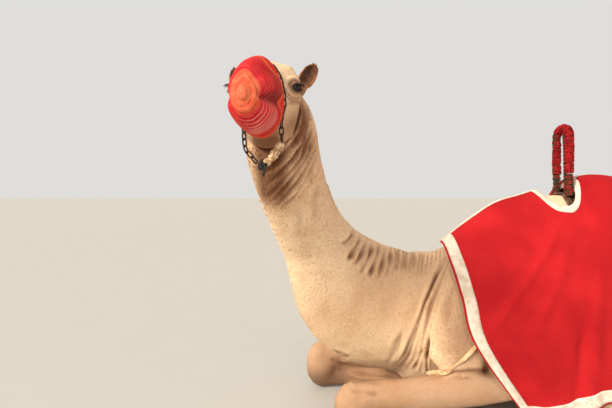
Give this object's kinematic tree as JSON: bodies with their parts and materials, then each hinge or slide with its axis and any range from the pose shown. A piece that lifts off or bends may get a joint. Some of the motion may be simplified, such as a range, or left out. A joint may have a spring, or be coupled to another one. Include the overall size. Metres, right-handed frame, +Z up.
{
  "type": "couched dromedary camel model",
  "caption": "Couched dromedary camel, life size, head turned left, in a crocheted muzzle cover, chain halter, bound cloth and saddle with a hoop handle.",
  "frame": {"origin": "the middle of the underside of the bounding box, on the floor", "axes": "+X to the camel's left, -Y the way its body faces, +Z up"},
  "size_m": [1.6592, 2.5082, 1.6267],
  "materials": {
    "hide": "short, flat, matt fur",
    "eye": "wet and shiny",
    "hair": "coarse hair",
    "crochet": "crocheted wool in rings of coral, orange, pink and red",
    "chain": "dark and rusty",
    "cream_cord": "soft cotton webbing and yarn",
    "dark_cord": "matt",
    "red_cloth": "plain bright red weave",
    "white_tape": "off-white woven tape",
    "pad_cover": "plain weave",
    "saddle_frame": "worn dark paint",
    "red_yarn": "wound yarn",
    "dark_yarn": "wound yarn in dark green and brown"
  },
  "bodies": {
    "root": {"head": "hide", "eye_left": "eye", "ear_left": "hide", "eye_right": "eye", "ear_right": "hide", "trunk_front": "hide", "trunk_rear": "hide", "hump": "hide", "shoulder_left": "hide", "forearm_left": "hide", "forefoot_left": "hide", "thigh_left": "hide", "shank_left": "hide", "strap_left": "cream_cord", "hindfoot_left": "hide", "shoulder_right": "hide", "forearm_right": "hide", "forefoot_right": "hide", "thigh_right": "hide", "shank_right": "hide", "strap_right": "cream_cord", "hindfoot_right": "hide", "neck_base": "hide", "neck_middle": "hide", "neck_upper": "hide", "tail": "hide", "tail_tuft": "hair", "muzzle_cover": "crochet", "noseband_chain": "chain", "halter_cord": "cream_cord", "halter_knot": "dark_cord", "cloth": "red_cloth", "tape_border": "white_tape", "tape_opening": "white_tape", "tape_ridge_front": "white_tape", "tape_ridge_rear": "white_tape", "saddle_arch": "saddle_frame", "seat_pad": "pad_cover", "handle_grip": "red_yarn", "handle_leg_left": "dark_yarn", "handle_leg_right": "dark_yarn", "handle_tie": "dark_yarn"}
  },
  "joints": []
}
